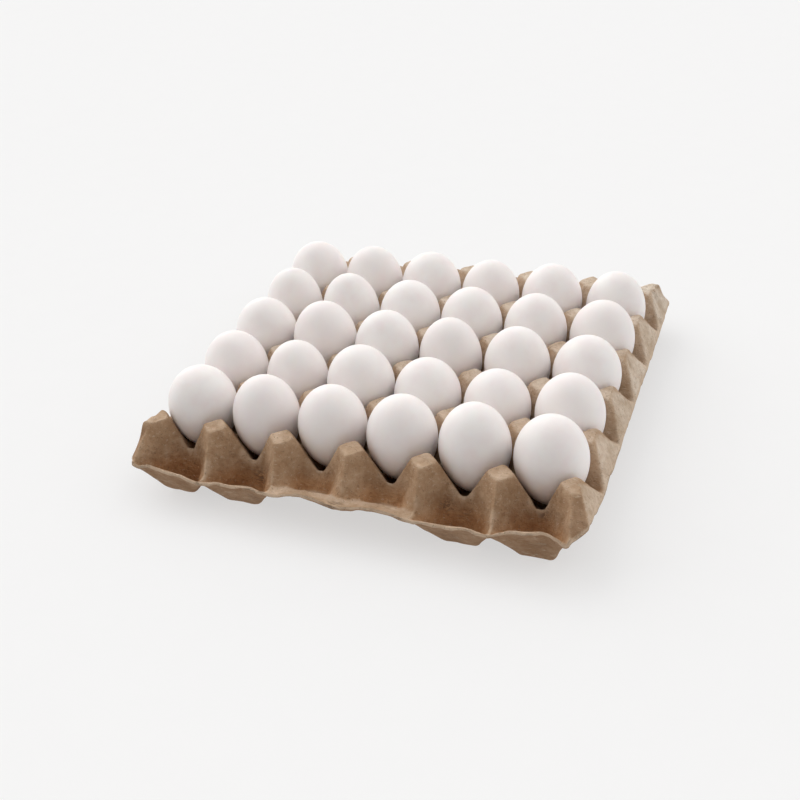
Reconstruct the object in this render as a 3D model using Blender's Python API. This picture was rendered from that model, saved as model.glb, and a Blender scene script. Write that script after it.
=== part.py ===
"""Thirty hen's eggs standing in a square tray of moulded paper pulp.

Metres, +Z up. The origin lies under the middle of the tray, on the plane of its feet, which are the
undersides of the cup floors. Columns run along X, rows along Y, and row 1 is the front row at -Y.
The tray is one thin shell: a top skin that the eggs see and an under skin one wall below it.
"""

import math
import random

import bmesh
import bpy
from mathutils import Vector

MM = 0.001

# The lattice: an egg in each cup, and a hollow post where four cups meet.
COLUMNS = 6
ROWS = 5
PITCH = 47 * MM
HALF_SIDE = 150 * MM
WALL = 2 * MM

# Posts: four-sided pyramids with a flat diamond top, its corners pointing along X and Y.
POST_TOP = 46 * MM
POST_HALF = 7.2 * MM
END_POST_SHIFT = 2 * MM
SIDE_POST_SHIFT = -4 * MM
SIDE_POST_OUTER_HALF = 4 * MM

# Cups: a round floor, a ring where the wall steepens, and saddles between neighbouring posts.
RING_POINTS = 12
FLOOR_RADIUS = 10 * MM
SADDLE_HEIGHT = 24 * MM
SADDLE_WAIST = (15.5 * MM, 12 * MM)
POST_WAIST = (20.2 * MM, 26 * MM)
SIDE_SADDLE_X = 145 * MM
SIDE_SADDLE_HEIGHT = 26.5 * MM

# Half cups along the front and back edges. The two in the middle are shallow and serve as grips.
TROUGH_FLOOR = (10.3 * MM, 3.5 * MM)
TROUGH_CENTRE = 14.5 * MM
TROUGH_SHIFT = 2.2 * MM
GRIP_FLOOR = (12 * MM, 4.5 * MM)
GRIP_CENTRE = 13 * MM
GRIP_DEPTH = 18.5 * MM
GRIP_TROUGHS = (2, 3)
SQUARENESS = 0.3
FOOT_GROWTH = 1.3 * MM
RIDGE_FOOT = (21 * MM, 24 * MM)
CORNER_FOOT = 0.6

# The lip: low where a ridge runs into it, arched up between ridges, and chamfered at the corners.
LIP_STEPS = 4
LIP_LOW = 23.5 * MM
LIP_ARCH = 3.5 * MM
GRIP_ARCH = 5.5 * MM
CORNER_CROWN = 0.8 * MM
CORNER_EDGE = 2.6 * MM
RIDGE_FOLD = 4 * MM
GRIP_FOLD = 2.6 * MM
SIDE_LIP_HEIGHT = 22.5 * MM
LIP_ROLL = 0.7 * MM
LIP_TUCK = 1.4 * MM
CHAMFER_X = 9 * MM
CHAMFER_Y = 12 * MM
CORNER_BEND = 60 * MM
CORNER_HEIGHTS = {  # (hand, end): where the side lip and the front or back lip reach the chamfer
    (-1, -1): (22 * MM, 28.5 * MM), (1, -1): (31 * MM, 31.5 * MM),
    (-1, 1): (22.5 * MM, 28 * MM), (1, 1): (22.5 * MM, 27 * MM),
}

# Eggs: the blunt half is up, and the widest ring sits where the wall of the cup holds the egg.
EGG_RADIUS = 22.2 * MM
EGG_POINTED_HALF = 31 * MM
EGG_TOP = 69 * MM
EGG_GAP = 0.4 * MM
EGG_SEGMENTS = 12
EGG_RINGS = 6
EGG_SEED = 30
EGG_SPREAD = 0.5 * MM
ODD_EGGS = {  # (column, row) from the front left: how much wider and how much taller, in mm
    (0, 0): (0.8, 0.3), (1, 0): (-1.0, 0.2), (4, 0): (0.0, 2.0), (5, 0): (0.4, 1.0),
    (1, 1): (-2.4, -1.5), (3, 1): (-0.6, -2.3), (4, 1): (-1.4, -4.0), (2, 1): (0.8, 1.0),
    (1, 2): (0.8, 3.0), (2, 2): (0.2, 1.4), (3, 2): (-1.4, 1.6), (0, 3): (-2.0, 0.8),
    (1, 3): (-2.0, 1.5), (3, 4): (-1.4, -2.0), (5, 4): (-2.0, -1.5),
}

PULP_COLOUR = (0.38, 0.27, 0.18, 1)
SHELL_COLOUR = (0.80, 0.76, 0.73, 1)


def clear_scene():
    for old in list(bpy.data.objects):
        bpy.data.objects.remove(old, do_unlink=True)


def make_material(name, colour, roughness):
    material = bpy.data.materials.new(name)
    material.use_nodes = True
    shader = material.node_tree.nodes["Principled BSDF"]
    shader.inputs["Base Color"].default_value = colour
    shader.inputs["Roughness"].default_value = roughness
    shader.inputs["Metallic"].default_value = 0
    return material


def add_object(name, bm, material, sharp_angle):
    mesh = bpy.data.meshes.new(name)
    bm.to_mesh(mesh)
    bm.free()
    mesh.materials.append(material)
    mesh.shade_smooth()
    mesh.set_sharp_from_angle(angle=sharp_angle)
    piece = bpy.data.objects.new(name, mesh)
    bpy.context.collection.objects.link(piece)
    return piece


def column_x(number):
    """Middle of a cup column; a half number gives the post line beside it."""
    return (number - (COLUMNS - 1) / 2) * PITCH


def row_y(number):
    return (number - (ROWS - 1) / 2) * PITCH


def moved_line(start, end):
    """A wall's profile line in (radius, height), moved one wall out and down: a point, a direction."""
    direction = (Vector(end) - Vector(start)).normalized()
    outward = Vector((-direction.y, direction.x))
    return Vector(start) + outward * WALL, direction


def point_at(line, axis, value):
    start, direction = line
    return start + direction * ((value - start[axis]) / direction[axis])


def crossing(line, other):
    (start, direction), (base, along) = line, other
    across = direction.x * along.y - direction.y * along.x
    gap = base - start
    return start + direction * ((gap.x * along.y - gap.y * along.x) / across)


class Skin:
    """One face of the tray's shell: its named heights and radii, and the vertices made so far."""

    def __init__(self, bm, under):
        self.bm = bm
        self.under = under
        self.vertices = {}
        post_rim = math.sqrt(0.5) * (PITCH - POST_HALF)
        saddle = [(PITCH / 2, SADDLE_HEIGHT), SADDLE_WAIST, (FLOOR_RADIUS, WALL)]
        side = [(SIDE_SADDLE_X - column_x(COLUMNS - 1), SIDE_SADDLE_HEIGHT), SADDLE_WAIST]
        post = [(post_rim, POST_TOP), POST_WAIST, (FLOOR_RADIUS, WALL)]
        self.floor_height = 0 if under else WALL
        self.floor_radius = FLOOR_RADIUS
        self.saddle_height, self.side_saddle_height = SADDLE_HEIGHT, SIDE_SADDLE_HEIGHT
        self.post_top, self.post_half = POST_TOP, POST_HALF
        self.waists = (Vector(SADDLE_WAIST), Vector(POST_WAIST))
        if under:
            upper, lower = moved_line(*saddle[:2]), moved_line(*saddle[1:])
            post_upper, post_lower = moved_line(*post[:2]), moved_line(*post[1:])
            self.floor_radius = point_at(lower, 1, 0).x
            self.saddle_height = point_at(upper, 0, PITCH / 2).y
            self.side_saddle_height = point_at(moved_line(*side), 0, side[0][0]).y
            self.post_top = POST_TOP - WALL
            rim = point_at(post_upper, 1, self.post_top).x
            self.post_half = PITCH - rim / math.sqrt(0.5)
            self.waists = (crossing(upper, lower), crossing(post_upper, post_lower))
        self.thinning = POST_HALF - self.post_half

    def vertex(self, key, place):
        if key not in self.vertices:
            self.vertices[key] = self.bm.verts.new(place)
        return self.vertices[key]

    def face(self, *corners):
        self.bm.faces.new(corners)


def post_corner(skin, i, j, dx, dy):
    """Corner of post (i, j)'s diamond top, in the direction (dx, dy) along one of the axes."""
    hand = (i == COLUMNS) - (i == 0)
    end = (j == ROWS) - (j == 0)
    half = skin.post_half
    if hand and dx == hand:
        half = SIDE_POST_OUTER_HALF - skin.thinning
    x = column_x(i - 0.5) + hand * SIDE_POST_SHIFT + dx * half
    y = row_y(j - 0.5) + end * END_POST_SHIFT + dy * half
    return skin.vertex(("post", i, j, dx, dy), (x, y, skin.post_top))


def row_saddle(skin, i, j):
    """Saddle between posts (i, j) and (i + 1, j)."""
    return skin.vertex(("row saddle", i, j), (column_x(i), row_y(j - 0.5), skin.saddle_height))


def column_saddle(skin, i, j):
    """Saddle between posts (i, j) and (i, j + 1); on the two sides it stands out to the lip."""
    x, height = column_x(i - 0.5), skin.saddle_height
    if i in (0, COLUMNS):
        x, height = math.copysign(SIDE_SADDLE_X, x), skin.side_saddle_height
    return skin.vertex(("column saddle", i, j), (x, row_y(j), height))


def lip_height(end, step):
    """Height of the front or back lip, step by step from the left corner to the right one."""
    last = COLUMNS * LIP_STEPS
    cell, within = divmod(min(step, last - step), LIP_STEPS)
    rise = math.sin(math.pi * within / LIP_STEPS)
    if cell > 0:
        return LIP_LOW + (GRIP_ARCH if cell in GRIP_TROUGHS else LIP_ARCH) * rise
    corner = CORNER_HEIGHTS[(-1 if step < last / 2 else 1, end)][1]
    if 2 * within < LIP_STEPS:
        return corner + CORNER_CROWN * rise
    return LIP_LOW + (corner + CORNER_CROWN - LIP_LOW) * rise


def end_lip(skin, end, step):
    """Point of the front (end -1) or back (end 1) lip; the top skin's edge lies one wall inside."""
    post, within = divmod(step, LIP_STEPS)
    x = column_x(step / LIP_STEPS - 0.5)
    inset, height = (0 if skin.under else WALL), lip_height(end, step)
    drop = RIDGE_FOLD
    if within:
        drop = LIP_ROLL
    elif post in (*GRIP_TROUGHS, GRIP_TROUGHS[-1] + 1):
        drop = GRIP_FOLD
    elif post in (0, COLUMNS):
        inset, drop = 0, CORNER_EDGE
        x = math.copysign(HALF_SIDE - CHAMFER_X, x)
    if skin.under:
        height -= drop
    return skin.vertex(("end lip", end, step), (x, end * (HALF_SIDE - inset), height))


def side_lip(skin, hand, step):
    """Point of the left (hand -1) or right (hand 1) lip: even steps at saddles, odd ones at posts."""
    last = 2 * ROWS + 2
    end = -1 if 2 * step < last else 1
    corner = HALF_SIDE - CHAMFER_Y
    y, tuck, drop = row_y(step / 2 - 1), LIP_TUCK, WALL
    if step in (0, last):
        y, tuck, drop = end * corner, 0, CORNER_EDGE
    bend = max(0, 1 - (corner - abs(y)) / CORNER_BEND) ** 2
    height = SIDE_LIP_HEIGHT + bend * (CORNER_HEIGHTS[(hand, end)][0] - SIDE_LIP_HEIGHT)
    x = HALF_SIDE
    if skin.under:
        x, height = x - tuck, height - drop
    return skin.vertex(("side lip", hand, step), (hand * x, y, height))


def bowl(skin, outer, inner):
    """Triangles between two rings; each diagonal starts low on the outer ring, so the bowl is hollow."""
    count = len(outer)
    for k in range(count):
        a, b, c, d = outer[k], outer[(k + 1) % count], inner[k], inner[(k + 1) % count]
        if a.co.z <= b.co.z:
            skin.face(a, b, d)
            skin.face(a, d, c)
        else:
            skin.face(a, b, c)
            skin.face(b, d, c)


def cup(skin, i, j):
    """An egg's cup: saddles and post edges, a waist ring, and the round floor."""
    outer = [
        column_saddle(skin, i + 1, j), post_corner(skin, i + 1, j + 1, 0, -1),
        post_corner(skin, i + 1, j + 1, -1, 0), row_saddle(skin, i, j + 1),
        post_corner(skin, i, j + 1, 1, 0), post_corner(skin, i, j + 1, 0, -1),
        column_saddle(skin, i, j), post_corner(skin, i, j, 0, 1),
        post_corner(skin, i, j, 1, 0), row_saddle(skin, i, j),
        post_corner(skin, i + 1, j, -1, 0), post_corner(skin, i + 1, j, 0, 1),
    ]
    waist, floor = [], []
    for k in range(RING_POINTS):
        angle = 2 * math.pi * k / RING_POINTS
        radius, height = skin.waists[0 if k % 3 == 0 else 1]
        spoke = Vector((math.cos(angle), math.sin(angle), 0))
        middle = Vector((column_x(i), row_y(j), 0))
        waist.append(skin.vertex(("waist", i, j, k), middle + spoke * radius + Vector((0, 0, height))))
        foot = middle + spoke * skin.floor_radius + Vector((0, 0, skin.floor_height))
        floor.append(skin.vertex(("floor", i, j, k), foot))
    bowl(skin, outer, waist)
    bowl(skin, waist, floor)
    skin.face(*floor)


def squared(value):
    """Pushes a sine or cosine outwards, which turns an ellipse into a rounded rectangle."""
    return math.copysign(abs(value) ** SQUARENESS, value)


def ridge_foot(skin, i, end):
    """Where the steep ridge of an end post meets the flat arm that carries it to the lip.

    A corner post has no arm: its ridge runs straight to the lip, and this is a point on the way.
    """
    j = 0 if end < 0 else ROWS
    if i in (0, COLUMNS):
        top, lip = post_corner(skin, i, j, 0, end), end_lip(skin, end, i * LIP_STEPS)
        return skin.vertex(("ridge foot", i, end), top.co.lerp(lip.co, CORNER_FOOT))
    out, height = RIDGE_FOOT
    if skin.under:
        out, height = out - WALL / 2, height - RIDGE_FOLD
    return skin.vertex(("ridge foot", i, end), (column_x(i - 0.5), row_y(j - 0.5) + end * out, height))


def trough_side(skin, i, end, side):
    """From the saddle round one side of half cup i to the lip: post edge, ridge and lip at the ridge."""
    j = 0 if end < 0 else ROWS
    post = i + (side > 0)
    return [
        post_corner(skin, post, j, -side, 0), post_corner(skin, post, j, 0, end),
        ridge_foot(skin, post, end), end_lip(skin, end, post * LIP_STEPS),
        end_lip(skin, end, post * LIP_STEPS - side),
    ]


def trough(skin, i, end):
    """A half cup outside the first or last row, deep at the corners and shallow at the grips."""
    j = 0 if end < 0 else ROWS
    right, left = trough_side(skin, i, end, 1), trough_side(skin, i, end, -1)
    middle = end_lip(skin, end, i * LIP_STEPS + LIP_STEPS // 2)
    outer = [row_saddle(skin, i, j), *right, middle, *reversed(left)]
    grip = i in GRIP_TROUGHS
    half_length, half_width = GRIP_FLOOR if grip else TROUGH_FLOOR
    centre = row_y(j - 0.5) + end * (GRIP_CENTRE if grip else TROUGH_CENTRE)
    shift = 0 if grip else math.copysign(TROUGH_SHIFT, column_x(i))
    height = skin.floor_height + (GRIP_DEPTH - WALL if grip else 0)
    growth = FOOT_GROWTH if skin.under else 0
    floor = []
    for k in range(RING_POINTS):
        angle = 2 * math.pi * k / RING_POINTS
        x = column_x(i) + shift + (half_length + growth) * squared(math.sin(angle))
        y = centre - end * (half_width + growth) * squared(math.cos(angle))
        floor.append(skin.vertex(("trough", i, end, k), (x, y, height)))
    bowl(skin, outer, floor)
    skin.face(*floor)


def post_cap(skin, i, j):
    skin.face(*(post_corner(skin, i, j, dx, dy) for dx, dy in ((1, 0), (0, 1), (-1, 0), (0, -1))))


def side_slope(skin, hand, j):
    """Outer face of a side post, from its top down to the straight side lip."""
    i = 0 if hand < 0 else COLUMNS
    near, out, far = (post_corner(skin, i, j, dx, dy) for dx, dy in ((0, -1), (hand, 0), (0, 1)))
    foot = side_lip(skin, hand, 2 * j + 1)
    before, after = side_lip(skin, hand, 2 * j), side_lip(skin, hand, 2 * j + 2)
    skin.face(near, before, foot)
    skin.face(near, foot, out)
    skin.face(out, foot, far)
    skin.face(far, foot, after)
    if j > 0:
        skin.face(near, column_saddle(skin, i, j - 1), before)
    if j < ROWS:
        skin.face(far, after, column_saddle(skin, i, j))


def corner_slope(skin, hand, end):
    """Narrow face of a corner post, from its top down to the chamfered piece of the lip."""
    i, j = (0 if hand < 0 else COLUMNS), (0 if end < 0 else ROWS)
    chamfer_end = side_lip(skin, hand, 0 if end < 0 else 2 * ROWS + 2)
    foot = ridge_foot(skin, i, end)
    skin.face(post_corner(skin, i, j, 0, end), foot, chamfer_end)
    skin.face(foot, end_lip(skin, end, i * LIP_STEPS), chamfer_end)


def make_skin(bm, under):
    skin = Skin(bm, under)
    for i in range(COLUMNS):
        for j in range(ROWS):
            cup(skin, i, j)
        for end in (-1, 1):
            trough(skin, i, end)
    for j in range(ROWS + 1):
        for i in range(COLUMNS + 1):
            post_cap(skin, i, j)
        for hand in (-1, 1):
            side_slope(skin, hand, j)
    for hand in (-1, 1):
        for end in (-1, 1):
            corner_slope(skin, hand, end)
    return skin


def rim_path():
    """Keys of the lip's points, once round the tray."""
    steps = range(COLUMNS * LIP_STEPS + 1)
    sides = range(2 * ROWS + 3)
    front = [("end lip", -1, step) for step in steps]
    right = [("side lip", 1, step) for step in sides]
    back = [("end lip", 1, step) for step in reversed(steps)]
    left = [("side lip", -1, step) for step in reversed(sides)]
    return front + right + back + left


def make_tray(material):
    """Two skins, one wall apart, joined all round along the lip."""
    bm = bmesh.new()
    top, under = make_skin(bm, False), make_skin(bm, True)
    path = rim_path()
    for here, there in zip(path, path[1:] + path[:1]):
        a, b = top.vertices[here], top.vertices[there]
        c, d = under.vertices[there], under.vertices[here]
        bm.faces.new((a, b, c))
        bm.faces.new((a, c, d))
    bmesh.ops.recalc_face_normals(bm, faces=bm.faces)
    return add_object("tray", bm, material, math.radians(35))


def egg_seat(radius):
    """Height of an egg's widest ring when its pointed half leans on the four post faces of the cup."""
    flat = math.cos(math.pi / RING_POINTS)
    low = Vector((FLOOR_RADIUS * flat, WALL))
    high = Vector((POST_WAIST[0] * flat, POST_WAIST[1]))
    slope = (high - low).normalized()
    reach = math.hypot(radius * slope.y, EGG_POINTED_HALF * slope.x)
    return high.y + (reach + EGG_GAP - high.x * slope.y) / slope.x


def make_egg(i, j, wider, taller, material):
    radius = EGG_RADIUS + wider / 2
    seat = egg_seat(radius)
    blunt_half = EGG_TOP + taller - seat
    bm = bmesh.new()
    bmesh.ops.create_uvsphere(bm, u_segments=EGG_SEGMENTS, v_segments=EGG_RINGS, radius=1)
    for vertex in bm.verts:
        half = blunt_half if vertex.co.z > 0 else EGG_POINTED_HALF
        vertex.co = (vertex.co.x * radius, vertex.co.y * radius, vertex.co.z * half)
    egg = add_object(f"egg_r{j + 1}_c{i + 1}", bm, material, math.pi)
    egg.location = (column_x(i), row_y(j), seat)
    return egg


def make_eggs(material):
    chance = random.Random(EGG_SEED)
    for j in range(ROWS):
        for i in range(COLUMNS):
            wider = chance.uniform(-EGG_SPREAD, EGG_SPREAD)
            taller = chance.uniform(-EGG_SPREAD, EGG_SPREAD)
            if (i, j) in ODD_EGGS:
                wider, taller = (size * MM for size in ODD_EGGS[(i, j)])
            make_egg(i, j, wider, taller, material)


clear_scene()
make_tray(make_material("moulded_pulp", PULP_COLOUR, 0.9))
make_eggs(make_material("eggshell", SHELL_COLOUR, 0.5))
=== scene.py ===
"""White hen's eggs standing in a square tray of moulded paper pulp, on a pale studio table.

Metres, +Z up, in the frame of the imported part: row 1 of the eggs is in front, at -Y.
"""

import math

import bpy
import numpy as np
from mathutils import Matrix, Vector
from mathutils.bvhtree import BVHTree


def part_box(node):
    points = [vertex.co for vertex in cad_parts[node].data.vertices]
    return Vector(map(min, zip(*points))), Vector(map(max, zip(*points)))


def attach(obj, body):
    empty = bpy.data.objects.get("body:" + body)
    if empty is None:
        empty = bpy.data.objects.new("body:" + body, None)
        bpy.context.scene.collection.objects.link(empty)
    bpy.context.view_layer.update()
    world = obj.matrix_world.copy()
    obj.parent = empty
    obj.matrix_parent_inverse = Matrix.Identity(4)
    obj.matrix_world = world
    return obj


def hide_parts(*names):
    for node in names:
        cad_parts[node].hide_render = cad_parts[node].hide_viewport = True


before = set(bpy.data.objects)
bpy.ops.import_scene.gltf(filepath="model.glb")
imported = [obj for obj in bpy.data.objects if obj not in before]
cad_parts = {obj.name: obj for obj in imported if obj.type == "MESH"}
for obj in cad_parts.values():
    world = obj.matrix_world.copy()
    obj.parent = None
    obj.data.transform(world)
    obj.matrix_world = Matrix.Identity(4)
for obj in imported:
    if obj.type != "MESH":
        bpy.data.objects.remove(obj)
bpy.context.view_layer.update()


# ---- The tray: the moulded shell ----
# One piece of recycled paper pulp, sucked as a wet felt onto a wire mould and dried, about 2 mm
# thick. Everything sharp in the mould comes out rounded, and its skin stays uneven.
MM = 0.001


def middle(node):
    low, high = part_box(node)
    return (low + high) / 2


# Posts stand half a pitch from the eggs' middles, and the outermost ones a little off that.
tray_far_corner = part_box("tray")[1]
post_top, half_side = tray_far_corner.z, tray_far_corner.x
first_egg, last_egg = middle("egg_r1_c1"), middle("egg_r5_c6")
pitch = (last_egg.x - first_egg.x) / 5
post_columns = first_egg.x + pitch * (np.arange(7) - 0.5)
post_rows = first_egg.y + pitch * (np.arange(6) - 0.5)
SIDE_POSTS_IN = 4 * MM
END_POSTS_OUT = 2 * MM
post_columns[[0, -1]] -= np.array([-1, 1]) * SIDE_POSTS_IN
post_rows[[0, -1]] += np.array([-1, 1]) * END_POSTS_OUT
side_post, end_post = post_columns[-1], post_rows[-1]

SAMPLE = 0.5 * MM
sample_count = round(2 * half_side / SAMPLE) + 1
samples = np.linspace(-half_side, half_side, sample_count)
x, y = np.meshgrid(samples, samples)
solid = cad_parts["tray"].data
corners = [v.co for v in solid.vertices]
solid_skin = BVHTree.FromPolygons(corners, [p.vertices for p in solid.polygons])


def spread_outwards(heights):
    """Carries the heights at the tray's outline out over the corners, where no line met the solid."""
    while np.isnan(heights).any():
        framed = np.pad(heights, 1, constant_values=np.nan)
        near = np.stack([framed[2:, 1:-1], framed[:-2, 1:-1], framed[1:-1, 2:], framed[1:-1, :-2]])
        known = (~np.isnan(near)).sum(0)
        mean = np.where(known > 0, np.nansum(near, 0) / np.maximum(known, 1), np.nan)
        heights = np.where(np.isnan(heights), mean, heights)
    return heights


def solid_top():
    """Heights of the tray's solid, where upright lines first meet it from above."""
    heights = np.full(x.shape, np.nan)
    for row, across in enumerate(samples):
        for column, along in enumerate(samples):
            place = solid_skin.ray_cast((along, across, 2 * post_top), Vector((0, 0, -1)))[0]
            if place is not None:
                heights[row, column] = place.z
    return spread_outwards(heights)


def softened(heights, width):
    """Rounds edges and creases off, as wet felt does: a blur whose spread is `width`."""
    reach = int(3 * width / SAMPLE) + 1
    weights = np.exp(-0.5 * (np.arange(-reach, reach + 1) * SAMPLE / width) ** 2)
    weights /= weights.sum()
    for axis in (0, 1):
        margins = [(0, 0), (0, 0)]
        margins[axis] = (reach, reach)
        wide = np.pad(heights, margins, mode="reflect", reflect_type="odd")
        parts = (wide.take(range(k, k + sample_count), axis) for k in range(len(weights)))
        heights = sum(weight * part for weight, part in zip(weights, parts))
    return heights


def smooth_step(low, high, values):
    share = np.clip((values - low) / (high - low), 0, 1)
    return share * share * (3 - 2 * share)


def off_lines(values, lines):
    """How far each position is from the nearest of some lines."""
    return np.abs(values[..., None] - np.asarray(lines)).min(-1)


def highest(fillet, *shapes):
    """The upper envelope of some height fields, with a fillet where they meet."""
    top = np.maximum.reduce(np.broadcast_arrays(*shapes))
    return top + fillet * np.log(sum(np.exp((shape - top) / fillet) for shape in shapes))


def lowest(fillet, *shapes):
    return -highest(fillet, *(-shape for shape in shapes))


# Posts: hollow pyramids with a rounded diamond on top, one where four cups meet. Those at the sides
# fall off more steeply inwards and run out nearly flat towards the side walls. The end posts are
# steeper on their outer side.
CAP_HALF = 8 * MM
CAP_ROUND = 2 * MM
POST_SLOPE, POST_SLOPE_OUT = 1.75, 3.0
SIDE_POST_STEEPER, SIDE_POST_FLATTER = 1.4, 0.15
from_post_x = off_lines(samples, post_columns)
inner_flank = (np.abs(samples) > side_post - pitch / 2) & (np.abs(samples) < side_post)
beyond_cap = np.maximum(from_post_x - CAP_HALF, 0)
from_post_x += np.where(inner_flank, beyond_cap * (SIDE_POST_STEEPER - 1), 0)
from_post_x *= np.where(np.abs(samples) > side_post, SIDE_POST_FLATTER, 1)
from_post_y = off_lines(samples, post_rows)
cap_size = math.hypot(CAP_HALF, CAP_ROUND)
diamond = np.hypot(from_post_x, CAP_ROUND)[None, :] + np.hypot(from_post_y, CAP_ROUND)[:, None]
past_end = np.abs(y) - end_post
slope = np.where(past_end > 0, POST_SLOPE_OUT, POST_SLOPE)
posts = post_top - slope * np.maximum(diamond - CAP_ROUND - cap_size, 0)

# Saddles: low webs that run from post to post between the cups.
SADDLE_TOP = 23.5 * MM
SADDLE_HALF = 0.8 * MM
CUP_SLOPE = 1.5
row_webs = SADDLE_TOP - CUP_SLOPE * np.maximum(off_lines(y, post_rows) - SADDLE_HALF, 0)
row_webs = np.where(past_end > 0, 0, row_webs)
inner_columns = post_columns[1:-1]
nearest_column = inner_columns[np.abs(x[..., None] - inner_columns).argmin(-1)]
from_column = np.abs(x - nearest_column)
column_webs = SADDLE_TOP - CUP_SLOPE * np.maximum(from_column - SADDLE_HALF, 0)
column_webs = np.where(past_end > 0, 0, column_webs)

# Half cups past the end posts: deep ones, and two shallow ones in the middle that serve as grips.
# Each lies between a wall under the end posts, the lip, and the ridges that run from posts to lip.
# The lip curves from ridge to ridge, and is slack, so straighter, over three of the four deep ones.
# A ridge falls off as its post does, then bends at RIDGE_BEND and has the lip's height from
# RIDGE_LEVEL on, both counted from the end posts' middles.
FLOOR_TOP, GRIP_FLOOR = 2 * MM, 13.5 * MM
GRIP_HALF = 47 * MM
END_WALL_REACH = 9 * MM
RIDGE_REACH_OUT, RIDGE_REACH_IN = 15.4 * MM, 11 * MM
RIDGE_BEND, RIDGE_LEVEL = 19.5 * MM, 30 * MM
LIP_FLAT, LIP_REACH = 2 * MM, 12.8 * MM
SIDE_LIP_FLAT = 1 * MM
SLACK_ARCH = 0.45
CREST_FILLET, RIDGE_FILLET = 0.5 * MM, 0.8 * MM
NEAR = 0.05 * MM
end_half = max(abs(c.x) for c in corners if abs(c.y) > half_side - NEAR)
side_half = max(abs(c.y) for c in corners if abs(c.x) > half_side - NEAR)
heights = solid_top()
lip_row, lip_column = round(LIP_FLAT / SAMPLE), round(SIDE_LIP_FLAT / SAMPLE)
front_lip, back_lip = heights[lip_row], heights[-1 - lip_row]
end_lips = np.where(y < 0, front_lip, back_lip)
side_lips = np.where(x < 0, heights[:, [lip_column]], heights[:, [-1 - lip_column]])
anchors = [-end_half, *inner_columns, end_half]
front_line = np.interp(samples, anchors, np.interp(anchors, samples, front_lip))
back_line = np.interp(samples, anchors, np.interp(anchors, samples, back_lip))
straight_lips = np.where(y < 0, front_line, back_line)
slack = (np.abs(x) > GRIP_HALF) & (np.abs(x) < end_half) & (x < inner_columns[-1])
end_lips = np.where(slack, straight_lips + (end_lips - straight_lips) * SLACK_ARCH, end_lips)
from_edge = half_side - np.abs(y)
grip = (np.abs(x) < GRIP_HALF) & (past_end > 0)
floors = np.where(grip, GRIP_FLOOR, FLOOR_TOP)
crest = post_top - POST_SLOPE * np.maximum(from_post_x - CAP_HALF, 0)
crest = highest(CREST_FILLET, crest, SADDLE_TOP)[None, :]
end_walls = floors + (crest - floors) * (1 - np.maximum(past_end, 0) / END_WALL_REACH)
end_walls = np.where(past_end > 0, end_walls, 0)

lip_at_ridge = np.where(y < 0, np.interp(nearest_column, samples, front_lip),
                        np.interp(nearest_column, samples, back_lip))
ridge_top = post_top - POST_SLOPE * np.maximum(past_end - CAP_HALF, 0)
ridge_arm = SADDLE_TOP + (lip_at_ridge - SADDLE_TOP) * smooth_step(RIDGE_BEND, RIDGE_LEVEL, past_end)
ridge_top = highest(RIDGE_FILLET, ridge_top, ridge_arm)
outwards = np.abs(x) > np.abs(nearest_column)
ridge_reach = np.where(outwards | grip, RIDGE_REACH_OUT, RIDGE_REACH_IN)
ridges = floors + (ridge_top - floors) * (1 - from_column / ridge_reach)
ridges = np.where(past_end > 0, ridges, 0)

# Corner posts: two ridges run from each to the ends of the slant across the tray's corner, with a
# narrow face between them.
CORNER_CREST_X, SIDE_CREST_X = 141 * MM, 138.5 * MM
CREST_HALF = 3 * MM
CORNER_FLOOR_X = 129 * MM
INNER_RIDGE_OUT = 4 * MM
SLANT_END_IN = 1 * MM
outer_run = np.clip((past_end - CREST_HALF) / (side_half - end_post - CREST_HALF), 0, 1)
slant_run = np.clip((np.abs(y) - side_half) / (half_side - side_half), 0, 1)
outer_x = CORNER_CREST_X + (half_side - CORNER_CREST_X) * outer_run
outer_x -= (half_side - end_half) * slant_run
inner_run = np.clip((past_end - CAP_HALF) / (half_side - end_post - CAP_HALF), 0, 1)
inner_x = side_post + INNER_RIDGE_OUT * inner_run
side_row = round((half_side + side_half) / SAMPLE)
end_column = round((half_side + end_half - SLANT_END_IN) / SAMPLE)
slant_side = np.where(y < 0, side_lips[-1 - side_row], side_lips[side_row])
slant_end = np.where(x < 0, end_lips[:, [-1 - end_column]], end_lips[:, [end_column]])
outer_z = post_top + (slant_side - post_top) * outer_run + (slant_end - slant_side) * slant_run
inner_z = post_top + (slant_end - post_top) * inner_run
corner_walls = floors + (inner_z - floors) * (1 - (inner_x - np.abs(x)) / (inner_x - CORNER_FLOOR_X))
face_part = (np.abs(x) - inner_x) / np.maximum(outer_x - inner_x, SAMPLE)
corner_faces = inner_z + (outer_z - inner_z) * np.clip(face_part, 0, 1)
corner_posts = np.where(np.abs(x) < inner_x, corner_walls, corner_faces)
corner_posts = np.where((past_end > 0) & (np.abs(x) > CORNER_FLOOR_X), corner_posts, 0)

# The lip's inner walls are steep in the deep half cups. In the grips they are a ledge instead, which
# flares up to the lip.
LEDGE_HEIGHT, LEDGE_WIDTH, LEDGE_SLOPE = 21.8 * MM, 12.5 * MM, 1.2
FLARE_BEND = 1.6
deep_lip_walls = floors + (end_lips - floors) * (1 - np.maximum(from_edge - LIP_FLAT, 0) / LIP_REACH)
flare = np.clip(1 - from_edge / LEDGE_WIDTH, 0, 1) ** FLARE_BEND
ledge = LEDGE_HEIGHT + (end_lips - LEDGE_HEIGHT) * flare
ledge -= LEDGE_SLOPE * np.maximum(from_edge - LEDGE_WIDTH, 0)
lip_walls = np.where(grip, ledge, deep_lip_walls)

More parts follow.
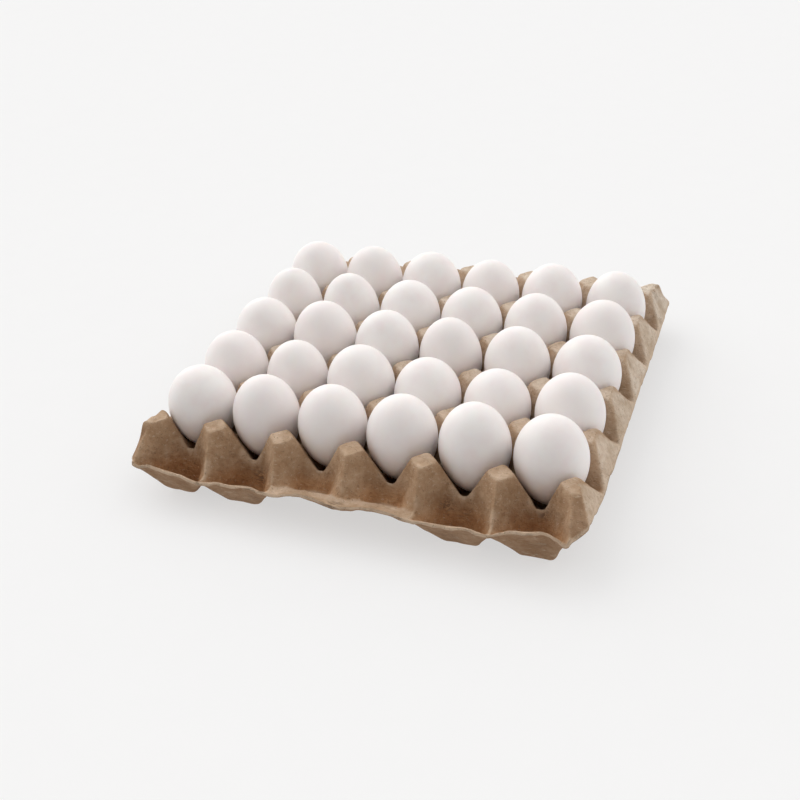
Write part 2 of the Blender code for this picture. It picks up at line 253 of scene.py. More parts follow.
# Side walls: steep outer slopes under the side posts, notched down to the lip at every cup.
NOTCH_X, NOTCH_Z = 148.8 * MM, 25.5 * MM
SIDE_WALL_SLOPE, NOTCH_SLOPE = 1.4, 0.6
notch = np.clip((off_lines(y, post_rows) - CREST_HALF) / (pitch / 2 - CREST_HALF), 0, 1)
crest_x = SIDE_CREST_X + (NOTCH_X - SIDE_CREST_X) * notch
crest_z = post_top + (NOTCH_Z - post_top) * notch
inner_slope = SIDE_WALL_SLOPE + (NOTCH_SLOPE - SIDE_WALL_SLOPE) * notch
side_inside = crest_z - inner_slope * (crest_x - np.abs(x))
side_inside = np.where(past_end > 0, 0, side_inside)
crest_x = np.where(past_end > 0, np.minimum(outer_x, half_side - SAMPLE), crest_x)
crest_z = np.where(past_end > 0, outer_z, crest_z)
side_outside = side_lips + (crest_z - side_lips) * (half_side - np.abs(x)) / (half_side - crest_x)
side_outside = np.where((past_end > 0) & (np.abs(x) < outer_x), 2 * post_top, side_outside)

FILLET, SIDE_FILLET = 0.9 * MM, 0.5 * MM
moulded = highest(FILLET, posts, row_webs, column_webs, floors, end_walls, ridges, corner_posts,
                  lip_walls, side_inside)
moulded = lowest(SIDE_FILLET, moulded, side_outside)

# Cups are round where the eggs touch them, so the posts are hollowed a little towards each egg.
CLEARANCE = 0.7 * MM
CUP_FILLET = 0.3 * MM
egg_nodes = sorted(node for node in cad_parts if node.startswith("egg_"))


def widest_height(node):
    """The height at which an egg's solid is widest."""
    return max((v.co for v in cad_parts[node].data.vertices), key=lambda c: c.x).z


for node in egg_nodes:
    low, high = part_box(node)
    widest = widest_height(node)
    from_egg = np.hypot(x - middle(node).x, y - middle(node).y)
    round_part = np.sqrt(np.clip(1 - (from_egg / ((high.x - low.x) / 2 + CLEARANCE)) ** 2, 0, 1))
    egg_below = widest - (widest - low.z + CLEARANCE) * round_part
    moulded = np.where(round_part > 0, lowest(CUP_FILLET, moulded, egg_below), moulded)
moulded = np.minimum(moulded, post_top)

chance = np.random.default_rng(6)


def rolling(width, height):
    """Unevenness of the felt: hills and hollows about `width` across."""
    hills = softened(chance.standard_normal(x.shape), width)
    return hills * (height / hills.std())


# The rounded shape, and where on it the felt lies on a ridge, in a hollow, on a steep wall, on an
# outer side slope or on the narrow face of a corner post: these places differ in colour, and most
# of that colour is painted light and shade: a highlight on ridges, warm bounced light in hollows,
# shade on steep walls and on the corner faces. The outer side slopes are drawn paler.
EDGE_ROUND = 0.55 * MM
CREASE_ROUND = 2.2 * MM
HOLLOW_ROUND = 11 * MM
HOLLOW_DEPTH = (-1 * MM, 9 * MM)
STEEPNESS = (0.02, 0.3)
OUT_PAST_CREST = (-0.5 * MM, 1.5 * MM)
OUT_PAST_INNER_RIDGE, IN_FROM_OUTER_RIDGE = (0, 2 * MM), (0, 1 * MM)
OUT_PAST_CAP = (8 * MM, 11 * MM)
softer = softened(moulded, EDGE_ROUND)
convexity = (softer - softened(moulded, CREASE_ROUND)) / MM
# How hollow a place is: it drives the painted warm bounced light.
hollow = smooth_step(*HOLLOW_DEPTH, softened(moulded, HOLLOW_ROUND) - moulded)
rise_y, rise_x = np.gradient(softer, SAMPLE)
steep = smooth_step(*STEEPNESS, 1 - 1 / np.sqrt(1 + rise_x ** 2 + rise_y ** 2))
outer_side = smooth_step(*OUT_PAST_CREST, np.abs(x) - crest_x)
# The steep walls' mask, used only for painted shade: steep felt is drawn browner and darker.
shaded_wall = steep * (1 - outer_side)
# The corner posts' narrow faces, drawn darker as painted shade.
corner_face = smooth_step(*OUT_PAST_INNER_RIDGE, np.abs(x) - inner_x)
corner_face *= smooth_step(*IN_FROM_OUTER_RIDGE, outer_x - np.abs(x))
corner_face *= smooth_step(*OUT_PAST_CAP, past_end)

# Hills of the felt: how wide and how high. Pits in the posts' tops and walls, in millimetres: along,
# across, reach and depth. The widest pit lowers the corner post at the back right.
HILLS = ((5 * MM, 0.22 * MM), (1.6 * MM, 0.13 * MM), (0.8 * MM, 0.06 * MM))
PITS = ((-93.5, -119, 2.6, 0.7), (-136, -124, 1.4, 0.9), (-134, -128, 1.4, 0.9), (-119, -122, 1.2, 0.7),
        (-46, -119.5, 2.4, 0.5), (137, 117.5, 12, 2.2), (120, -121, 1.5, 1.2), (58, -125, 1.5, 0.7))
upper_shape = softer
for width, height in HILLS:
    upper_shape = upper_shape + rolling(width, height)
for pit_x, pit_y, reach, depth in PITS:
    from_pit = np.hypot(x - pit_x * MM, y - pit_y * MM) / (reach * MM)
    upper_shape -= depth * MM * np.exp(-from_pit ** 2)
upper_shape = np.minimum(upper_shape, post_top)

WALL, THINNEST = 1.9 * MM, 1.1 * MM
UNDER_ROUND = 0.6 * MM
UNDER_HILLS = (2 * MM, 0.09 * MM)


def one_wall_below(heights):
    """The under skin: as deep below the top skin as a ball one wall in radius can roll under it."""
    reach = int(WALL / SAMPLE)
    wide = np.pad(heights, reach, mode="edge")
    below = np.full(heights.shape, np.inf)
    for down in range(-reach, reach + 1):
        for across in range(-reach, reach + 1):
            rest = WALL ** 2 - (down ** 2 + across ** 2) * SAMPLE ** 2
            if rest >= 0:
                rows = slice(reach + down, reach + down + sample_count)
                columns = slice(reach + across, reach + across + sample_count)
                below = np.minimum(below, wide[rows, columns] - math.sqrt(rest))
    return below


lower_shape = softened(one_wall_below(upper_shape), UNDER_ROUND) + rolling(*UNDER_HILLS)
lower_shape = np.clip(lower_shape, 0, upper_shape - THINNEST)


def read_off(field, along, across):
    """Values of a field at any places, between its samples."""
    just_before_last = sample_count - 1.001
    column = np.clip((along + half_side) / SAMPLE, 0, just_before_last)
    row = np.clip((across + half_side) / SAMPLE, 0, just_before_last)
    i, j = column.astype(int), row.astype(int)
    u, v = column - i, row - j
    near = field[j, i] * (1 - u) + field[j, i + 1] * u
    far = field[j + 1, i] * (1 - u) + field[j + 1, i + 1] * u
    return near * (1 - v) + far * v


# The mesh is a grid whose lines lie closer together at the posts and past the end posts.
LIP_ROUND = 0.5 * MM
POST_REACH = 8 * MM
END_REACH = 38 * MM
FINE, COLUMNS_BETWEEN = 0.85 * MM, 1.35 * MM
ROWS_AT_POSTS, ROWS_BETWEEN = 1.05 * MM, 2.4 * MM
FULL_UNDER_REACH = 0.55 * END_REACH
TRIAL_PLACES = 6001


def mesh_lines(spacing):
    """Positions from one side to the other, as far apart as `spacing` says at each place."""
    places = np.linspace(-half_side + LIP_ROUND, half_side - LIP_ROUND, TRIAL_PLACES)
    steps = np.concatenate([[0], np.cumsum(1 / spacing(places[1:]))]) * (places[1] - places[0])
    return np.interp(np.linspace(0, steps[-1], round(steps[-1]) + 1), steps, places)


def column_spacing(places):
    near_post = (off_lines(places, post_columns) < POST_REACH) | (np.abs(places) > side_post)
    return np.where(near_post, FINE, COLUMNS_BETWEEN)


def row_spacing(places):
    inside = np.where(off_lines(places, post_rows) < POST_REACH, ROWS_AT_POSTS, ROWS_BETWEEN)
    return np.where(half_side - np.abs(places) < END_REACH, FINE, inside)


BEND_FROM = 120 * MM


def to_outline(along, across):
    """Draws the outer columns in near the corners, where the tray is cut off at a slant."""
    cut = np.clip((np.abs(across) - side_half) / (half_side - side_half), 0, 1)
    narrowed = half_side - (half_side - end_half) * cut
    outer = np.maximum(np.abs(along) - BEND_FROM, 0)
    squeeze = (narrowed - BEND_FROM) / (half_side - BEND_FROM)
    return np.sign(along) * (np.minimum(np.abs(along), BEND_FROM) + outer * squeeze)


def ring_of(rows, columns):
    """Indices of a grid's outer vertices, once round it."""
    index = np.arange(rows * columns).reshape(rows, columns)
    return [*index[0, :-1], *index[:-1, -1], *index[-1, :0:-1], *index[:0:-1, 0]]


def grid_faces(rows, columns, start, facing_up):
    index = np.arange(rows * columns).reshape(rows, columns) + start
    a, b, c, d = index[:-1, :-1], index[:-1, 1:], index[1:, 1:], index[1:, :-1]
    order = (a, b, c, d) if facing_up else (d, c, b, a)
    return np.stack(order, -1).reshape(-1, 4).tolist()


column_lines, row_lines = mesh_lines(column_spacing), mesh_lines(row_spacing)
# The under skin keeps every line near the ends, and between them every other row.
at_ends = half_side - np.abs(row_lines) < FULL_UNDER_REACH
kept_rows = [k for k in range(len(row_lines)) if at_ends[k] or k % 2 == 0 or k == len(row_lines) - 1]

grid_x, grid_y = np.meshgrid(column_lines, row_lines)
grid_x = to_outline(grid_x, grid_y)
top_points = np.stack([grid_x, grid_y, read_off(upper_shape, grid_x, grid_y)], -1)
under_x, under_y = grid_x[kept_rows], grid_y[kept_rows]
under_points = np.stack([under_x, under_y, read_off(lower_shape, under_x, under_y)], -1)

rows, columns = grid_x.shape
top_ring = ring_of(rows, columns)
top_flat, under_flat = top_points.reshape(-1, 3), under_points.reshape(-1, 3)
under_ring = ring_of(len(kept_rows), columns)
place_in_top = {row * columns + k: kept * columns + k
                for row, kept in enumerate(kept_rows) for k in range(columns)}

edge = top_flat[top_ring]
tangent = np.roll(edge, -1, 0) - np.roll(edge, 1, 0)
outward = np.stack([tangent[:, 1], -tangent[:, 0], 0 * tangent[:, 0]], -1)
outward /= np.linalg.norm(outward, axis=1)[:, None]


def frayed(width, height):
    """Roughness along the lip, once round, where the felt was trimmed: `width` counts vertices."""
    steps = np.arange(len(edge))
    steps = np.minimum(steps, len(edge) - steps)
    weights = np.exp(-0.5 * (steps / width) ** 2)
    rough = np.fft.ifft(np.fft.fft(chance.standard_normal(len(edge))) * np.fft.fft(weights)).real
    return rough * (height / rough.std())


# Each pair is a width in vertices and a height. Felt is torn off inwards only.
FINE_FRAY, COARSE_FRAY = (1.2, 0.2 * MM), (4, 0.15 * MM)
LIP_HEIGHT_FRAY = (2, 0.2 * MM)
TORN_OFF, TORN_OFF_MOST = (1.6, 0.35 * MM), 0.7 * MM
FINE_RAGS, COARSE_RAGS = (1.5, 0.3 * MM), (5, 0.3 * MM)
fray = np.clip(frayed(*FINE_FRAY) + frayed(*COARSE_FRAY), -LIP_ROUND, LIP_ROUND)
lip = edge + outward * (LIP_ROUND / 2 + fray / 2)[:, None]
under_edge = read_off(lower_shape, edge[:, 0], edge[:, 1])
lip[:, 2] = (edge[:, 2] + under_edge) / 2 + frayed(*LIP_HEIGHT_FRAY)
torn_off = np.clip(frayed(*TORN_OFF), 0, TORN_OFF_MOST)
top_flat[top_ring] -= outward * torn_off[:, None]
ragged = frayed(*FINE_RAGS) + frayed(*COARSE_RAGS)
top_flat[top_ring, 2] += ragged
lip[:, 2] += ragged

faces = grid_faces(rows, columns, 0, True)
under_start = len(top_flat)
faces += grid_faces(len(kept_rows), columns, under_start, False)
lip_start = under_start + len(under_flat)
ring_length = len(top_ring)
for k in range(ring_length):
    after = (k + 1) % ring_length
    faces.append([top_ring[after], top_ring[k], lip_start + k, lip_start + after])
ring_place = {vertex: k for k, vertex in enumerate(top_ring)}
under_stops = [(ring_place[place_in_top[v]], under_start + v) for v in under_ring]
for (here, low_here), (there, low_there) in zip(under_stops, under_stops[1:] + under_stops[:1]):
    span = range(here, there + 1 if there > here else ring_length + 1)
    faces.append([lip_start + k % ring_length for k in reversed(span)] + [low_here, low_there])

tray_mesh = bpy.data.meshes.new("pulp_tray")
vertices = np.concatenate([top_flat, under_flat, lip])
tray_mesh.from_pydata(vertices.tolist(), [], faces)
tray_mesh.validate()
tray_mesh.update()
tray_mesh.shade_smooth()


def add_values(mesh, name, values):
    mesh.attributes.new(name, "FLOAT", "POINT").data.foreach_set("value", values.astype(np.float32))


# How much each vertex shows of a look, 0 being nothing and 1 being full: ridges below the posts'
# tops, rubbed and with a painted highlight; the lip, worn and with a painted highlight; painted
# shade that makes the steep walls browner; and painted warm bounced light in the hollows. The under
# skin has a share of both the painted shade and the bounced light.
RIDGES_FADE = (24 * MM, 34 * MM)
LIP_FADE = (0.4 * MM, 1.6 * MM)
CAP_FROM, CAP_FULL = 2 * MM, 0.8 * MM
CAPS_AS_SHADED_WALL = 0.3
UNDER_AS_SHADED_WALL, UNDER_AS_WARM_BOUNCE = 0.7, 0.3
along, across, height = vertices.T
# Paler ridges: rubbed felt, and a painted highlight.
ridge_rub_and_highlight_values = read_off(convexity, along, across)
ridge_rub_and_highlight_values *= 1 - smooth_step(*RIDGES_FADE, height)
ridge_rub_and_highlight_values[under_start:] = 0
across_slant, along_slant = half_side - side_half, half_side - end_half
from_side, from_corner = half_side - np.abs(along), side_half - np.abs(across)
from_slant = from_side * across_slant + from_corner * along_slant
from_slant /= math.hypot(across_slant, along_slant)
from_edge = half_side - np.maximum(np.abs(along), np.abs(across))
from_edge = np.minimum(from_edge, from_slant)
# Paler lip band: worn felt, and a painted highlight.
lip_wear_and_highlight_values = 1 - smooth_step(*LIP_FADE, from_edge)
lip_wear_and_highlight_values[under_start:lip_start] = 0
# The posts' caps take a share of the painted wall shade.
on_cap = smooth_step(post_top - CAP_FROM, post_top - CAP_FULL, height)
shaded_wall_values = np.maximum(read_off(shaded_wall, along, across), CAPS_AS_SHADED_WALL * on_cap)
shaded_wall_values[under_start:] = UNDER_AS_SHADED_WALL
# Painted warm bounced light in the hollows.
warm_bounce_values = read_off(hollow, along, across)
warm_bounce_values[under_start:] = UNDER_AS_WARM_BOUNCE

# Scuffs, in millimetres: along, across, height and reach. Torn felt on and under the lip, smudges on
# the half cups outside, and scratches on their walls inside. Then painted light: the felt drawn
# paler from the front end back into the tray and again at its back, less so on steep walls; the
# outer side slopes drawn paler too. And painted shade: darker on the narrow faces of the corner
# posts and underneath.
SCUFFS = ((-136, -124, 25, 3), (-134, -128, 15, 3), (-119, -122, 25, 2), (-63, -125, 15, 6),
          (-58, -147, 14, 5), (-3, -149, 23, 6), (62, -125, 19, 4), (72, -127, 16, 4), (69, -147, 12, 6),
          (120, -121, 21, 3), (124, -147, 18, 4), (146, -144, 26, 4), (-94, -149, 24, 3),
          (-50, -149, 25, 2))
TORN_SPOTS, TORN_FROM, TORN_SCUFF = (3, 0.7), (-0.2, 1), 0.8
PAINTED_LIGHT_INSIDE, INSIDE_FROM = 0.75, (-130 * MM, -25 * MM)
PAINTED_LIGHT_BACK, BACK_FROM = 0.25, (40 * MM, 115 * MM)
PALER_SIDES, WALLS_LESS_PAINTED_LIGHT = 0.45, 0.6
CORNER_PAINTED_SHADE = 0.8
scuff_values = np.zeros(len(vertices))
for mark in SCUFFS:
    from_mark = np.linalg.norm(vertices - np.array(mark[:3]) * MM, axis=1) / (mark[3] * MM)
    scuff_values = np.maximum(scuff_values, np.exp(-from_mark ** 2))
torn = smooth_step(*TORN_FROM, frayed(*TORN_SPOTS))
scuff_values[lip_start:] = np.maximum(scuff_values[lip_start:], TORN_SCUFF * torn)
# Painted light: paler from the front end back into the tray and at its back, less on steep walls; the
# outer side slopes paler.
back_light_and_pale_sides_values = PAINTED_LIGHT_INSIDE * smooth_step(*INSIDE_FROM, across)
back_light_and_pale_sides_values += PAINTED_LIGHT_BACK * smooth_step(*BACK_FROM, across)
back_light_and_pale_sides_values *= 1 - WALLS_LESS_PAINTED_LIGHT * shaded_wall_values
back_light_and_pale_sides_values = np.maximum(back_light_and_pale_sides_values, PALER_SIDES * read_off(outer_side, along, across))
# Painted shade on the corner faces and on the whole under skin.
painted_shade_values = CORNER_PAINTED_SHADE * read_off(corner_face, along, across)
painted_shade_values[under_start:lip_start] = 1
for name, values in (("scuff", scuff_values), ("painted_shade", painted_shade_values), ("back_light_and_pale_sides", back_light_and_pale_sides_values),
                     ("ridge_rub_and_highlight", ridge_rub_and_highlight_values), ("lip", lip_wear_and_highlight_values), ("shaded_wall", shaded_wall_values),
                     ("warm_bounce", warm_bounce_values)):
    add_values(tray_mesh, name, values)

tray = bpy.data.objects.new("pulp_tray", tray_mesh)
bpy.context.collection.objects.link(tray)


def linear(code):
    """An sRGB hex colour as the linear RGBA that shaders take."""
    parts = [int(code[k:k + 2], 16) / 255 for k in (1, 3, 5)]
    return [p / 12.92 if p <= 0.04045 else ((p + 0.055) / 1.055) ** 2.4 for p in parts] + [1]


def add_node(tree, kind, inputs=None, **settings):
    """Adds a shader node. An input takes a value, a hex colour, a socket, or a node's first output."""
    made = tree.nodes.new(kind)
    for name, value in settings.items():
        setattr(made, name, value)
    for name, value in (inputs or {}).items():
        if isinstance(value, bpy.types.Node):
            value = next(socket for socket in value.outputs if socket.enabled)
        if isinstance(value, bpy.types.NodeSocket):
            tree.links.new(value, made.inputs[name])
        else:
            made.inputs[name].default_value = linear(value) if isinstance(value, str) else value
    return made


def empty_tree(owner):
    """The node tree of a material or a world, with nothing in it yet."""
    owner.use_nodes = True
    owner.node_tree.nodes.clear()
    return owner.node_tree


# Recycled paper pulp: matt grey-tan felt of short fibres, mottled where it dried unevenly. Edges and
# ridges are paler, partly rubbed and partly a painted highlight; the hollows are warmer, painted
# warm bounced light; the steep walls, corner faces and underside are browner and darker, painted
# shade; and the felt is paler towards the back, painted light. Paper has an IOR near 1.5. Single
# fibres are some 0.03 mm thick: grain, strands and specks are drawn far coarser, so that they show,
# and a strand is five times as long as it is thick.
MOTTLE = 14 * MM
FIBRE_CLUMP = 3.2 * MM
FIBRE = 0.9 * MM
SPECK = 1.6 * MM
STRAND = 1.3 * MM
STRAND_TURN, STRAND_STRETCH = (0.4, 0.3, 0.6), (0.2, 1.0, 1.0)
MOTTLE_RELIEF, CLUMP_RELIEF, FIBRE_RELIEF = 6 * MM, 1.6 * MM, 0.7 * MM
# The sockets at which a colour mix takes its share and its two colours, and its settings.
SHARE, FIRST, SECOND = 0, 6, 7
BLEND = {"data_type": "RGBA"}
MULTIPLY = {"data_type": "RGBA", "blend_type": "MULTIPLY"}
pulp = bpy.data.materials.new("recycled_paper_pulp")
tree = empty_tree(pulp)
place = add_node(tree, "ShaderNodeTexCoord").outputs["Object"]
mottle = add_node(tree, "ShaderNodeTexNoise", {"Vector": place, "Scale": 1 / MOTTLE, "Detail": 4.0})
clumps = add_node(tree, "ShaderNodeTexNoise",
                  {"Vector": place, "Scale": 1 / FIBRE_CLUMP, "Detail": 5.0, "Roughness": 0.6})
fibres = add_node(tree, "ShaderNodeTexNoise",
                  {"Vector": place, "Scale": 1 / FIBRE, "Detail": 3.0, "Distortion": 1.2})
specks = add_node(tree, "ShaderNodeTexNoise",
                  {"Vector": place, "Scale": 1 / SPECK, "Detail": 2.0, "Distortion": 0.8})
lengthwise = add_node(tree, "ShaderNodeMapping",
                      {"Vector": place, "Rotation": STRAND_TURN, "Scale": STRAND_STRETCH})
strands = add_node(tree, "ShaderNodeTexNoise",
                   {"Vector": lengthwise, "Scale": 1 / STRAND, "Detail": 2.0, "Distortion": 0.6})
scuffed = add_node(tree, "ShaderNodeAttribute", attribute_name="scuff").outputs["Fac"]
how_back_light_and_pale_sides = add_node(tree, "ShaderNodeAttribute", attribute_name="back_light_and_pale_sides").outputs["Fac"]
how_painted_shade = add_node(tree, "ShaderNodeAttribute", attribute_name="painted_shade").outputs["Fac"]
on_ridge_rub_and_highlight = add_node(tree, "ShaderNodeAttribute", attribute_name="ridge_rub_and_highlight").outputs["Fac"]
at_lip_wear_and_highlight = add_node(tree, "ShaderNodeAttribute", attribute_name="lip").outputs["Fac"]
on_shaded_wall = add_node(tree, "ShaderNodeAttribute", attribute_name="shaded_wall").outputs["Fac"]
how_warm_bounce = add_node(tree, "ShaderNodeAttribute", attribute_name="warm_bounce").outputs["Fac"]
# Painted warm bounced light: hollows drawn warmer.
colour = add_node(tree, "ShaderNodeMix", {SHARE: how_warm_bounce, FIRST: "#c8aa8c", SECOND: "#cfa47b"}, **BLEND)
# Painted shade: steep walls drawn browner and darker than the flat tops.
colour = add_node(tree, "ShaderNodeMix", {SHARE: on_shaded_wall, FIRST: "#dcc6af", SECOND: colour}, **BLEND)
# Painted light towards the back of the tray; outer side slopes paler.
colour = add_node(tree, "ShaderNodeMix", {SHARE: how_back_light_and_pale_sides, FIRST: colour, SECOND: "#e9ded0"}, **BLEND)
# Painted shade: corner faces and under skin drawn darker.
colour = add_node(tree, "ShaderNodeMix", {SHARE: how_painted_shade, FIRST: colour, SECOND: "#ab8d71"}, **BLEND)
share = add_node(tree, "ShaderNodeMapRange", {"Value": mottle, "From Min": 0.35, "From Max": 0.65})
mottled = add_node(tree, "ShaderNodeMix", {SHARE: share, FIRST: "#e4dcd2", SECOND: "#ffffff"}, **BLEND)
colour = add_node(tree, "ShaderNodeMix", {SHARE: 1.0, FIRST: colour, SECOND: mottled}, **MULTIPLY)
share = add_node(tree, "ShaderNodeMapRange", {"Value": clumps, "From Min": 0.3, "From Max": 0.7})
clumped = add_node(tree, "ShaderNodeMix", {SHARE: share, FIRST: "#e9dfd6", SECOND: "#ffffff"}, **BLEND)
colour = add_node(tree, "ShaderNodeMix", {SHARE: 1.0, FIRST: colour, SECOND: clumped}, **MULTIPLY)
# Paler ridges: rubbed felt and a painted highlight.
share = add_node(tree, "ShaderNodeMapRange",
                 {"Value": on_ridge_rub_and_highlight, "From Min": 0.15, "From Max": 1.2, "To Max": 0.6})
colour = add_node(tree, "ShaderNodeMix", {SHARE: share, FIRST: colour, SECOND: "#dac1a6"}, **BLEND)
# Paler lip band: worn felt and a painted highlight.
share = add_node(tree, "ShaderNodeMapRange", {"Value": at_lip_wear_and_highlight, "From Min": 0.2, "From Max": 1.2})
colour = add_node(tree, "ShaderNodeMix", {SHARE: share, FIRST: colour, SECOND: "#d3bba2"}, **BLEND)
share = add_node(tree, "ShaderNodeMapRange",
                 {"Value": strands, "From Min": 0.6, "From Max": 0.72, "To Max": 0.4})
colour = add_node(tree, "ShaderNodeMix", {SHARE: share, FIRST: colour, SECOND: "#dccab6"}, **BLEND)
share = add_node(tree, "ShaderNodeMapRange",
                 {"Value": specks, "From Min": 0.62, "From Max": 0.7, "To Max": 0.5})
colour = add_node(tree, "ShaderNodeMix", {SHARE: share, FIRST: colour, SECOND: "#7d6148"}, **BLEND)
dirt = add_node(tree, "ShaderNodeMapRange",
                {"Value": strands, "From Min": 0.46, "From Max": 0.56, "To Max": 0.75})
share = add_node(tree, "ShaderNodeMath", {0: dirt, 1: scuffed}, operation="MULTIPLY")
colour = add_node(tree, "ShaderNodeMix", {SHARE: share, FIRST: colour, SECOND: "#5d4532"}, **BLEND)
roughness = add_node(tree, "ShaderNodeMapRange", {"Value": clumps, "To Min": 0.86, "To Max": 0.98})
folded = add_node(tree, "ShaderNodeBump", {"Height": mottle, "Distance": MOTTLE_RELIEF, "Strength": 0.6})
coarse = add_node(tree, "ShaderNodeBump",
                  {"Height": clumps, "Distance": CLUMP_RELIEF, "Strength": 0.9, "Normal": folded})
fine = add_node(tree, "ShaderNodeBump",
                {"Height": fibres, "Distance": FIBRE_RELIEF, "Strength": 0.8, "Normal": coarse})
surface = add_node(tree, "ShaderNodeBsdfPrincipled",
                   {"Base Color": colour, "Roughness": roughness, "Normal": fine, "IOR": 1.5,
                    "Specular IOR Level": 0.25})
add_node(tree, "ShaderNodeOutputMaterial", {"Surface": surface})
tray_mesh.materials.append(pulp)
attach(tray, "root")
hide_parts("tray")


# ---- The eggs ----
# White hen's eggs, blunt end up, no two quite the same size. The shell is calcite, matt with a
# silky bloom, and lets a little light into its surface. Its pores are drawn coarser than they are.
EGG_SEGMENTS = 64
EGG_RINGS = 40
POINTED_TAPER = 0.06
LEAN = math.radians(0.8)
CLOUD, PORE = 12 * MM, 0.8 * MM
PORE_RELIEF = 0.05 * MM
LIGHT_REACH = 1.5 * MM

shell = bpy.data.materials.new("white_eggshell")
tree = empty_tree(shell)
place = add_node(tree, "ShaderNodeTexCoord").outputs["Object"]
tint = add_node(tree, "ShaderNodeAttribute", attribute_name="tint").outputs["Fac"]
cloud = add_node(tree, "ShaderNodeTexNoise", {"Vector": place, "Scale": 1 / CLOUD, "Detail": 3.0})
pores = add_node(tree, "ShaderNodeTexNoise", {"Vector": place, "Scale": 1 / PORE, "Detail": 2.0})
colour = add_node(tree, "ShaderNodeMix", {SHARE: tint, FIRST: "#f6f3f1", SECOND: "#f3eeec"}, **BLEND)
share = add_node(tree, "ShaderNodeMapRange", {"Value": cloud, "From Min": 0.4, "From Max": 0.75})
colour = add_node(tree, "ShaderNodeMix", {SHARE: share, FIRST: colour, SECOND: "#f2eae9"}, **BLEND)
roughness = add_node(tree, "ShaderNodeMapRange", {"Value": cloud, "To Min": 0.42, "To Max": 0.58})
pored = add_node(tree, "ShaderNodeBump", {"Height": pores, "Distance": PORE_RELIEF, "Strength": 0.4})
surface = add_node(tree, "ShaderNodeBsdfPrincipled",
                   {"Base Color": colour, "Roughness": roughness, "Normal": pored, "IOR": 1.5,
                    "Specular IOR Level": 0.3, "Subsurface Weight": 0.15,
                    "Subsurface Radius": (1.6, 1.0, 0.7), "Subsurface Scale": LIGHT_REACH})
add_node(tree, "ShaderNodeOutputMaterial", {"Surface": surface})


def egg_shape(node):
    """A shell as wide and tall as the egg's solid: a round blunt half over a slightly conical one."""
    low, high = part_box(node)
    radius = (high.x - low.x) / 2
    centre = (low + high) / 2
    widest = widest_height(node)
    turns = 2 * math.pi * np.arange(EGG_SEGMENTS) / EGG_SEGMENTS
    points = [(0, 0, low.z - widest)]
    for ring in range(1, EGG_RINGS):
        rise = math.pi * (ring / EGG_RINGS - 0.5)
        half = (high.z if rise > 0 else 2 * widest - low.z) - widest
        taper = 1 - POINTED_TAPER * math.sin(rise) ** 2 if rise < 0 else 1
        reach = radius * math.cos(rise) * taper
        points += [(reach * math.cos(t), reach * math.sin(t), half * math.sin(rise)) for t in turns]
    points.append((0, 0, high.z - widest))
    return points, Vector((centre.x, centre.y, widest))


def egg_faces():
    ring = np.arange(EGG_SEGMENTS)
    after = (ring + 1) % EGG_SEGMENTS
    top = 1 + (EGG_RINGS - 1) * EGG_SEGMENTS
    faces = [(0, 1 + b, 1 + a) for a, b in zip(ring, after)]
    for k in range(EGG_RINGS - 2):
        low = 1 + k * EGG_SEGMENTS
        high = low + EGG_SEGMENTS
        faces += [(low + a, low + b, high + b, high + a) for a, b in zip(ring, after)]
    last = top - EGG_SEGMENTS
    return [list(map(int, f)) for f in faces + [(last + a, last + b, top) for a, b in zip(ring, after)]]


shared_faces = egg_faces()
for node in egg_nodes:
    points, seat = egg_shape(node)
    mesh = bpy.data.meshes.new("white_" + node)
    mesh.from_pydata(points, [], shared_faces)
    mesh.shade_smooth()
    lean = Matrix.Rotation(chance.normal() * LEAN, 4, "X")
    lean = lean @ Matrix.Rotation(chance.normal() * LEAN, 4, "Y")
    turn = Matrix.Rotation(chance.uniform(0, 2 * math.pi), 4, "Z")
    mesh.transform(Matrix.Translation(seat) @ lean @ turn)
    add_values(mesh, "tint", np.full(len(points), chance.uniform()))
    mesh.materials.append(shell)
    egg = bpy.data.objects.new("white_" + node, mesh)
    bpy.context.collection.objects.link(egg)
    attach(egg, "root")
    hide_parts(node)


# ---- The table, the light and the camera ----
# A wide sheet of white acrylic, lit a little from below, in a tent of soft light panels. The
# strongest panel is on the left and somewhat behind, and there is none in front.
TABLE_HALF = 6.0
TABLE_GLOW = 0.575
TABLE_GRAIN = 25 * MM
table_sheet = bpy.data.materials.new("white_acrylic_sheet")
tree = empty_tree(table_sheet)
place = add_node(tree, "ShaderNodeTexCoord").outputs["Object"]
grain = add_node(tree, "ShaderNodeTexNoise", {"Vector": place, "Scale": 1 / TABLE_GRAIN, "Detail": 2.0})
colour = add_node(tree, "ShaderNodeMix", {SHARE: grain, FIRST: "#9b9b9b", SECOND: "#999999"}, **BLEND)
surface = add_node(tree, "ShaderNodeBsdfPrincipled",
                   {"Base Color": colour, "Roughness": 0.95, "Specular IOR Level": 0.0,
                    "Emission Color": "#ffffff", "Emission Strength": TABLE_GLOW})
add_node(tree, "ShaderNodeOutputMaterial", {"Surface": surface})
table_mesh = bpy.data.meshes.new("table")
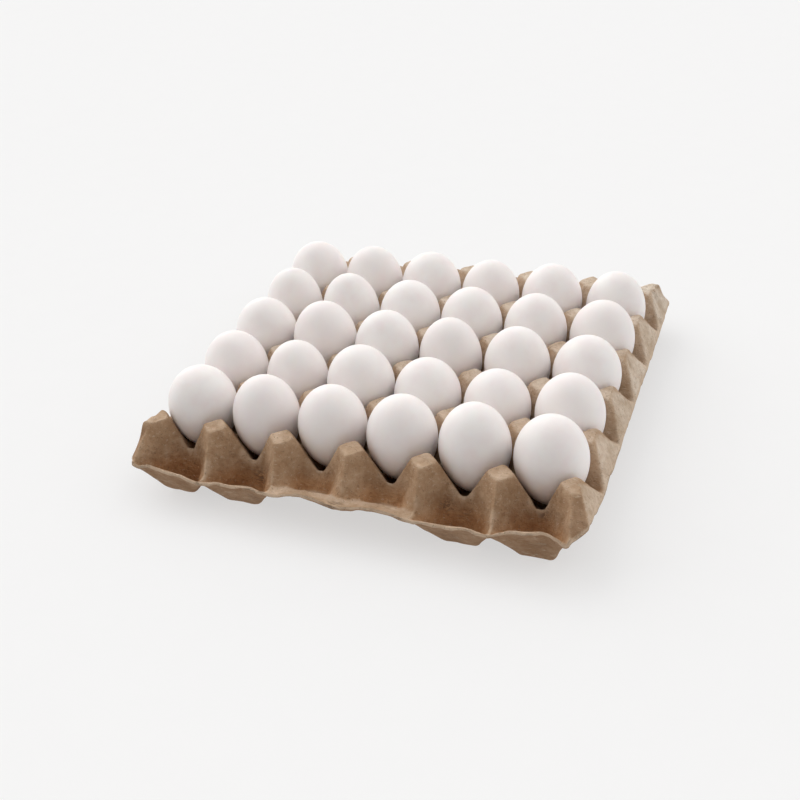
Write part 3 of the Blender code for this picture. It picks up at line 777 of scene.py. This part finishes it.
table_mesh.from_pydata(
    [(-TABLE_HALF, -TABLE_HALF, 0), (TABLE_HALF, -TABLE_HALF, 0),
     (TABLE_HALF, TABLE_HALF, 0), (-TABLE_HALF, TABLE_HALF, 0)], [], [(0, 1, 2, 3)])
table_mesh.materials.append(table_sheet)
table = bpy.data.objects.new("table", table_mesh)
bpy.context.collection.objects.link(table)

TENT_GLOW = 0.3
world = bpy.data.worlds.new("studio")
tree = empty_tree(world)
background = add_node(tree, "ShaderNodeBackground", {"Color": "#fffaf6", "Strength": TENT_GLOW})
add_node(tree, "ShaderNodeOutputWorld", {"Surface": background})
bpy.context.scene.world = world

# Where each panel stands, and how strong it is.
PANEL_WIDTH = math.radians(80)
PANELS = {"left": ((-1.0, 0.3, 0.6), 1.92), "right": ((0.9, 0.4, 0.6), 1.14),
          "back": ((-0.4, 0.9, 0.6), 0.96), "top": ((0, 0, 1), 0.36)}
for side, (towards, energy) in PANELS.items():
    sun = bpy.data.lights.new("softbox_" + side, "SUN")
    sun.energy = energy
    sun.angle = PANEL_WIDTH
    softbox = bpy.data.objects.new("softbox_" + side, sun)
    softbox.rotation_euler = Vector(towards).to_track_quat("Z", "Y").to_euler()
    bpy.context.collection.objects.link(softbox)

CAMERA_PLACE = Vector((0.2405, -0.5807, 0.424))
CAMERA_TURN, CAMERA_PITCH, CAMERA_ROLL = 0.418, -0.589, -0.098
FOCAL_LENGTH, SENSOR_WIDTH = 47.8, 36
looking = Matrix.Rotation(CAMERA_TURN, 4, "Z") @ Matrix.Rotation(math.pi / 2 + CAMERA_PITCH, 4, "X")
camera_data = bpy.data.cameras.new("camera")
camera_data.lens = FOCAL_LENGTH
camera_data.sensor_width = SENSOR_WIDTH
camera = bpy.data.objects.new("camera", camera_data)
camera.matrix_world = Matrix.Translation(CAMERA_PLACE) @ looking @ Matrix.Rotation(CAMERA_ROLL, 4, "Z")
bpy.context.collection.objects.link(camera)
bpy.context.scene.camera = camera
bpy.context.scene.view_settings.view_transform = "Standard"
